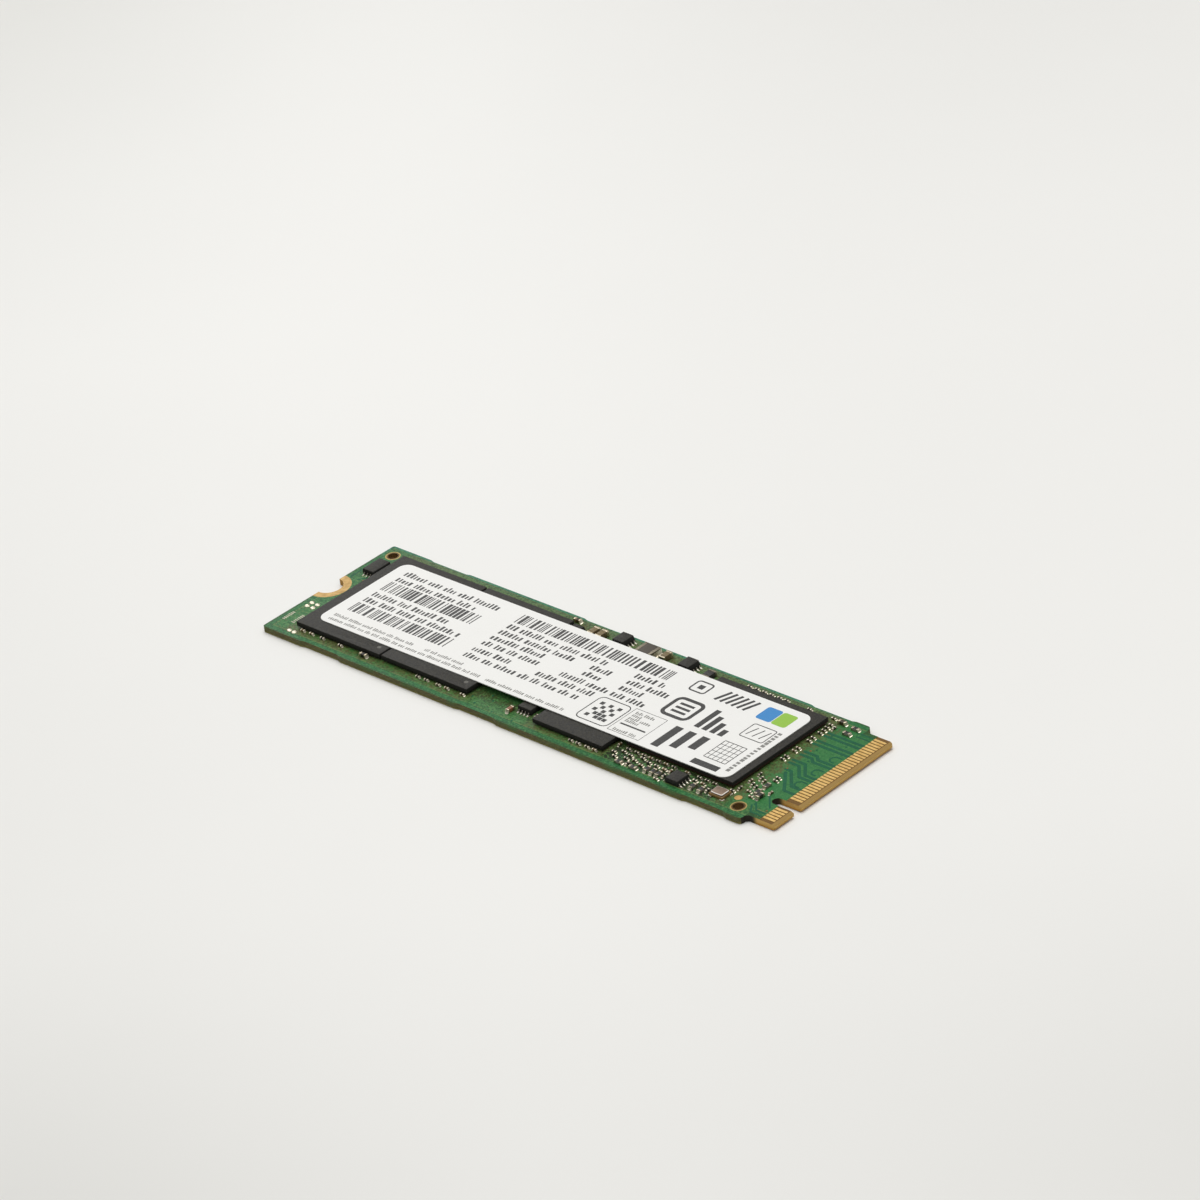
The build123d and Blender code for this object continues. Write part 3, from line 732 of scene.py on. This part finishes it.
sideRuns = [
    [(35.6, -5.7), (37.3, -7.6)], [(35.2, -8.2), (36.0, -9.3), (37.5, -9.3)],
    [(35.3, -7.6), (36.3, -8.7), (37.5, -8.7)], [(35.9, 8.6), (37.6, 8.6)], [(35.9, 9.3), (37.6, 9.3)],
    [(-39.2, 2.9), (-39.2, 5.2), (-38.4, 6.0)], [(-38.0, 2.9), (-37.3, 3.7)],
]
viaPlaces = [
    (36.3, 6.35), (33.4, 7.2), (33.9, 4.1), (34.6, 1.85), (35.4, -7.9), (35.6, 9.2), (-38.9, 4.4),
    (-39.3, -3.0), (-37.6, 7.9), (-6.0, -9.6), (-4.4, -8.2), (-2.9, -10.0), (-5.2, -7.4), (0.4, -10.1),
    (-7.2, -8.7),
]
spotPlaces = [(33.6, -0.5), (33.45, 3.6), (37.4, -8.2), (-37.24, 3.04), (-37.1, 3.4)]


def strip(bm, start, end, width, low, high):
    run = Vector(end) - Vector(start)
    middle = (Vector(start) + Vector(end)) / 2
    turn = Matrix.Rotation(math.atan2(run.y, run.x), 4, "Z")
    sizes = Matrix.Diagonal((run.length, width, high - low, 1))
    place = Matrix.Translation((middle.x, middle.y, (low + high) / 2))
    bmesh.ops.create_cube(bm, size=1, matrix=place @ turn @ sizes)


def disc(bm, x, y, radius, high):
    low = traceLook["low"]
    place = Matrix.Translation((x, y, (low + high) / 2))
    bmesh.ops.create_cone(bm, cap_ends=True, segments=traceLook["sides"], radius1=radius, radius2=radius,
                          depth=high - low, matrix=place)


def route(bm, points, width):  # straight runs, with a round cap over each corner and end
    for start, end in zip(points, points[1:]):
        strip(bm, start, end, width, traceLook["low"], traceLook["top"])
    for x, y in points:
        disc(bm, x, y, width / 2, traceLook["capTop"])


traces = bmesh.new()
for points in lanes:
    route(traces, points + [(traceLook["laneEnd"], points[-1][1])], traceLook["width"])
for level in loopLevels:
    route(traces, [(x, level + drop) for x, drop in loopShape], traceLook["thin"])
for points in sideRuns:
    route(traces, points, traceLook["thin"])
for x, y in viaPlaces:
    disc(traces, x, y, traceLook["viaRadius"], traceLook["markTop"])
keep(traces, "mask_traces", traceGreen, "solder_mask")

spots = bmesh.new()
for x, y in spotPlaces:
    disc(spots, x, y, traceLook["spotRadius"], traceLook["markTop"])
keep(spots, "copper_spots", copper, "gold_plating")

markLook = {"columns": (-39.05, -37.45), "top": -6.75, "rows": 7, "pitch": 0.28, "width": 0.6,
            "height": 0.16, "shares": (0.55, 1.0)}
marks = bmesh.new()
draw = random.Random(11)
for columnX in markLook["columns"]:
    for row in range(markLook["rows"]):
        y = markLook["top"] - row * markLook["pitch"]
        half = Vector((markLook["width"] / 2 * draw.uniform(*markLook["shares"]), markLook["height"] / 2))
        block(marks, (columnX - half.x, y - half.y, traceLook["low"]),
              (columnX + half.x, y + half.y, traceLook["markTop"]))
keep(marks, "board_marks", silk, "solder_mask")
print("traces and marks laid")


# Label print: plain blocks, bars and frames
labelLook = {"ink": "333230", "fineInk": "85847f", "wear": 0.12, "turn": 0.24}  # turn in degrees
inkLow = labelTop - 0.005
inkHigh = labelTop + 0.012
rowLook = {"cap": 1.0, "fineCap": 0.55, "wide": (0.2, 0.38), "tall": (0.66, 0.8, 0.96), "gap": 0.24,
           "space": 0.42, "run": (3, 8), "least": 0.2}
barLook = {"unit": 0.15, "widths": (1, 1, 1, 2, 2, 3), "gaps": (1, 1, 2, 2, 3)}
bigRows = [  # left end, middle level and length of each row
    (-32.6, 6.07, 16.4), (-32.6, 4.62, 13.0), (-32.6, 0.62, 12.4), (-32.6, -0.81, 15.7),
    (-13.4, 3.84, 16.2), (7.0, 3.76, 4.8), (-13.4, 2.44, 12.2), (1.3, 2.38, 3.6), (7.1, 2.3, 6.3),
    (-13.4, 1.06, 8.4), (1.4, 0.96, 2.7), (7.2, 0.88, 3.4), (-13.4, -0.38, 8.9), (-0.75, -0.6, 13.2),
    (-13.4, -1.96, 6.5), (-3.2, -2.0, 8.8), (-13.4, -3.42, 18.4),
]
fineRows = [
    (-33.2, -5.28, 13.2), (-18.1, -5.28, 6.5), (-33.2, -6.2, 24.8), (-7.3, -6.25, 12.4),
    (12.5, -2.2, 3.0), (12.5, -2.8, 1.6), (12.5, -3.4, 3.4), (12.5, -4.0, 2.4), (12.5, -6.0, 3.4),
]
barFields = [  # left end, right end, bottom and top of each field of bars
    (-32.7, -17.7, 1.67, 3.8), (-32.7, -16.8, -3.76, -1.76), (-13.5, 10.8, 4.8, 6.75),
]
frames = [  # left, right, bottom, top, corner radius and line width
    (6.7, 11.6, -6.5, -1.6, 0.8, 0.14), (11.9, 16.7, -6.5, -1.5, 0.1, 0.06),
    (13.9, 16.4, 4.7, 7.0, 0.5, 0.22), (14.3, 18.6, -0.8, 3.3, 1.0, 0.5),
    (25.4, 28.9, 0.5, 3.4, 0.35, 0.12), (25.0, 28.3, -4.9, -1.1, 0.1, 0.1),
]
fills = [  # left, right, bottom and top of each single block
    (12.4, 16.2, -4.9, -4.65), (14.75, 15.55, 5.45, 6.25), (24.5, 28.4, -6.6, -5.65),
]
ranks = [  # number of blocks, the same measures of the first, and the step of each measure to the next
    (3, (15.4, 17.5, 0.25, 0.65), (0, 0, 0.8, 0.8)),  # lines in the thick frame
    (4, (19.9, 20.65, -0.8, 3.2), (1.15, 1.15, 0, -0.9)),  # bars of falling height
    (3, (18.3, 19.4, -6.3, -1.8), (2.0, 2.0, 0.9, 0)),  # hanging bars
    (4, (25.0, 28.3, -4.2, -4.13), (0, 0, 0.75, 0.75)),  # thin lines along the label
    (4, (25.6, 25.67, -4.9, -1.1), (0.66, 0.66, 0, 0)),  # and across it
]
stripes = [  # number of leaning stripes, both ends of the first, step to the next and width
    (6, (18.1, 4.7), (18.9, 6.9), 0.85, 0.4), (3, (26.0, 1.1), (26.5, 2.8), 0.95, 0.14),
]
dotField = {"left": 7.55, "bottom": -5.7, "pitch": 0.66, "size": 0.56, "side": 5, "extra": 0.3}
uprightRow = {"left": 29.1, "right": 29.6, "bottom": -5.8, "pitch": 0.58, "count": 16,
              "tall": (0.3, 0.5)}
tileLook = {"bottom": 4.3, "top": 6.9, "corner": 0.35, "wear": 0.08}
tiles = {"blue": ("2f86c8", 24.5, 26.7), "green": ("93c23c", 26.8, 28.9)}  # colour, left and right end


def onLabel(bm):  # turned with the label, about its middle
    low, high = (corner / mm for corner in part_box("label_sheet"))
    turn = Matrix.Rotation(math.radians(labelLook["turn"]), 3, "Z")
    bmesh.ops.rotate(bm, cent=(low + high) / 2, matrix=turn, verts=bm.verts)
    return bm


def inkBlock(bm, left, right, bottom, top):
    block(bm, (left, bottom, inkLow), (right, top, inkHigh))


def inkRow(bm, left, level, length, cap, draw):  # runs of plain blocks
    x = left
    end = left + length
    while x < end - rowLook["least"] * cap:
        for stroke in range(draw.randint(*rowLook["run"])):
            wide = draw.uniform(*rowLook["wide"]) * cap
            if x + wide > end:
                break
            top = level + (draw.choice(rowLook["tall"]) - 0.5) * cap
            inkBlock(bm, x, x + wide, level - cap / 2, top)
            x += wide + rowLook["gap"] * cap
        x += rowLook["space"] * cap


def inkBars(bm, left, right, bottom, top, draw):
    x = left
    while x < right:
        wide = barLook["unit"] * draw.choice(barLook["widths"])
        inkBlock(bm, x, min(x + wide, right), bottom, top)
        x += wide + barLook["unit"] * draw.choice(barLook["gaps"])


def inkFrame(bm, left, right, bottom, top, radius, line):
    plate = bmesh.new()
    middle = Matrix.Translation(((left + right) / 2, (bottom + top) / 2, inkLow))
    bmesh.ops.create_grid(plate, x_segments=1, y_segments=1, size=0.5,
                          matrix=middle @ Matrix.Diagonal((right - left, top - bottom, 1, 1)))
    bmesh.ops.bevel(plate, geom=plate.verts[:], offset=radius, affect="VERTICES", segments=5,
                    profile=0.5, material=-1)
    rim = bmesh.ops.inset_region(plate, faces=plate.faces[:], thickness=line, use_even_offset=True,
                                 use_boundary=True)["faces"]
    bmesh.ops.delete(plate, geom=[face for face in plate.faces if face not in rim], context="FACES")
    extruded(plate, plate.faces[:], (0, 0, inkHigh - inkLow))
    carrier = bpy.data.meshes.new("frame_carrier")
    plate.to_mesh(carrier)
    plate.free()
    bm.from_mesh(carrier)
    bpy.data.meshes.remove(carrier)


draw = random.Random(5)
ink = bmesh.new()
for left, level, length in bigRows:
    inkRow(ink, left, level, length, rowLook["cap"], draw)
for left, right, bottom, top in barFields:
    inkBars(ink, left, right, bottom, top, draw)
for column in range(dotField["side"]):  # a square field of dots, every other one and some more
    for row in range(dotField["side"]):
        if (column + row) % 2 == 0 or draw.random() < dotField["extra"]:
            x = dotField["left"] + column * dotField["pitch"]
            y = dotField["bottom"] + row * dotField["pitch"]
            inkBlock(ink, x, x + dotField["size"], y, y + dotField["size"])
for measures in frames:
    inkFrame(ink, *measures)
for measures in fills:
    inkBlock(ink, *measures)
for count, first, steps in ranks:
    for i in range(count):
        inkBlock(ink, *(start + i * step for start, step in zip(first, steps)))
for count, start, end, step, width in stripes:
    for i in range(count):
        strip(ink, (start[0] + i * step, start[1]), (end[0] + i * step, end[1]), width, inkLow, inkHigh)
darkInk = inkFinish("label_ink", labelLook["ink"], labelLook["wear"])
keep(onLabel(ink), "label_print", darkInk, "label_paper")

fine = bmesh.new()
for left, level, length in fineRows:
    inkRow(fine, left, level, length, rowLook["fineCap"], draw)
for i in range(uprightRow["count"]):  # beside the right end
    y = uprightRow["bottom"] + i * uprightRow["pitch"]
    inkBlock(fine, uprightRow["left"], uprightRow["right"], y, y + draw.uniform(*uprightRow["tall"]))
greyInk = inkFinish("label_fine_ink", labelLook["fineInk"], labelLook["wear"])
keep(onLabel(fine), "label_fine_print", greyInk, "label_paper")

for name, (code, left, right) in tiles.items():
    field = bmesh.new()
    inkBlock(field, left, right, tileLook["bottom"], tileLook["top"])
    upright = [edge for edge in field.edges if abs(edge.verts[0].co.z - edge.verts[1].co.z) > 0.001]
    bmesh.ops.bevel(field, geom=upright, offset=tileLook["corner"], affect="EDGES", segments=4,
                    profile=0.5, material=-1)
    finish = inkFinish("label_" + name, code, tileLook["wear"])
    keep(onLabel(field), "label_tile_" + name, finish, "label_paper")
print("label printed")


# Camera, floor and light
cameraLook = {"azimuth": 47.06, "elevation": 29.963, "roll": -7.63, "distance": 563.445,
              "shift": (3.307, 9.819), "lens": 147.87, "sensor": 36, "clip": 0.01}
turn = math.radians(cameraLook["azimuth"])
lift = math.radians(cameraLook["elevation"])
roll = math.radians(cameraLook["roll"])
back = Vector((math.sin(turn) * math.cos(lift), -math.cos(turn) * math.cos(lift), math.sin(lift)))
right = Vector((math.cos(turn), math.sin(turn), 0))
up = back.cross(right)
across = right * math.cos(roll) + up * math.sin(roll)
upright = up * math.cos(roll) - right * math.sin(roll)
shiftX, shiftY = cameraLook["shift"]
spot = across * shiftX + upright * shiftY + back * cameraLook["distance"]
cameraData = bpy.data.cameras.new("camera")
cameraData.sensor_width = cameraLook["sensor"]
cameraData.lens = cameraLook["lens"]
cameraData.clip_start = cameraLook["clip"]
cameraObject = bpy.data.objects.new("camera", cameraData)
facingBack = Matrix((across, upright, back)).transposed().to_4x4()
cameraObject.matrix_world = Matrix.Translation(spot * mm) @ facingBack
bpy.context.scene.collection.objects.link(cameraObject)
bpy.context.scene.camera = cameraObject
bpy.context.scene.view_settings.view_transform = "Standard"

stageLook = {"floor": "f2f1ed", "floorShaded": "d9d8d3", "floorSize": 3.0, "drop": 0.00003,
             "roughness": 0.6, "skyLow": 0.17, "skyHigh": 1.4, "skyFrom": 0.42, "skyTo": 0.95}
floorShadeLook = {  # painted shade for light falling off away from the card: how much of the shaded colour each side of the floor takes, and what its corners add
    "left": 0.33, "leftFar": 0.55, "leftNear": 0.39, "near": 0.27, "nearRight": 0.21, "far": 0.17,
    "farRight": 0.22, "cloud": 0.1, "cloudSize": 40.0,
    "sideSpan": (0.0, 0.08), "nearSpan": (0.03, 0.11), "farSpan": (0.08, 0.25),
}
floorBm = bmesh.new()
bmesh.ops.create_grid(floorBm, x_segments=2, y_segments=2, size=stageLook["floorSize"] / 2,
                      matrix=Matrix.Translation((0, 0, -stageLook["drop"])))
floorMesh = bpy.data.meshes.new("floor")
floorBm.to_mesh(floorMesh)
floorBm.free()
floor = bpy.data.objects.new("floor", floorMesh)
bpy.context.scene.collection.objects.link(floor)
floorFinish, floorShader, floorCoords = newFinish("floor_paint", {"Roughness": stageLook["roughness"]})
floorX, floorY = floorCoords.parts()[:2]
toward = floorX * math.sin(turn) - floorY * math.cos(turn)
sideways = floorX * math.cos(turn) + floorY * math.sin(turn)
leftward = (0 - sideways).rise(*floorShadeLook["sideSpan"])
rightward = sideways.rise(*floorShadeLook["sideSpan"])
nearer = toward.rise(*floorShadeLook["nearSpan"])
farther = (0 - toward).rise(*floorShadeLook["farSpan"])
# painted shade: the floor darker away from the card
floorShade = leftward * (farther * floorShadeLook["leftFar"] + nearer * floorShadeLook["leftNear"] + floorShadeLook["left"])
floorShade = floorShade + nearer * (rightward * floorShadeLook["nearRight"] + floorShadeLook["near"])
floorShade = floorShade + farther * (rightward * floorShadeLook["farRight"] + floorShadeLook["far"])
floorShade = floorShade + floorCoords.noise(floorShadeLook["cloudSize"], 3.0) * floorShadeLook["cloud"]
feed(floorShader, {"Base Color": floorShade.mix(tint(stageLook["floor"]), tint(stageLook["floorShaded"]))})
floorMesh.materials.append(floorFinish)

world = bpy.data.worlds.new("studio")
world.use_nodes = True
background = world.node_tree.nodes["Background"]
background.inputs["Color"].default_value = (1.0, 1.0, 1.0, 1.0)
height = Flow(world.node_tree).node("ShaderNodeTexCoord", output="Generated").parts()[2]
sky = height.rise(stageLook["skyFrom"], stageLook["skyTo"]) * (stageLook["skyHigh"] - stageLook["skyLow"])
feed(background, {"Strength": sky + stageLook["skyLow"]})
bpy.context.scene.world = world

lamps = {  # place, size and power of each soft box, and whether it lights or only glints
    "overhead_box": ((-0.25, 0.35, 0.75), 0.6, 0.45, True),
    "overhead_spot": ((-0.08, 0.12, 0.8), 0.07, 0.85, True),
    "far_left_box": ((-0.287, 0.153, 0.131), 0.16, 0.2, False),
    "far_right_box": ((0.25, 0.295, 0.317), 0.2, 0.45, False),
}
for name, (place, size, power, lights) in lamps.items():
    lamp = bpy.data.lights.new(name, "AREA")
    lamp.shape = "DISK"
    lamp.size = size
    lamp.energy = power
    lampObject = bpy.data.objects.new(name, lamp)
    lampObject.location = place
    lampObject.rotation_euler = (-Vector(place)).to_track_quat("-Z", "Y").to_euler()
    lampObject.visible_diffuse = lights
    bpy.context.scene.collection.objects.link(lampObject)
print("stage set")
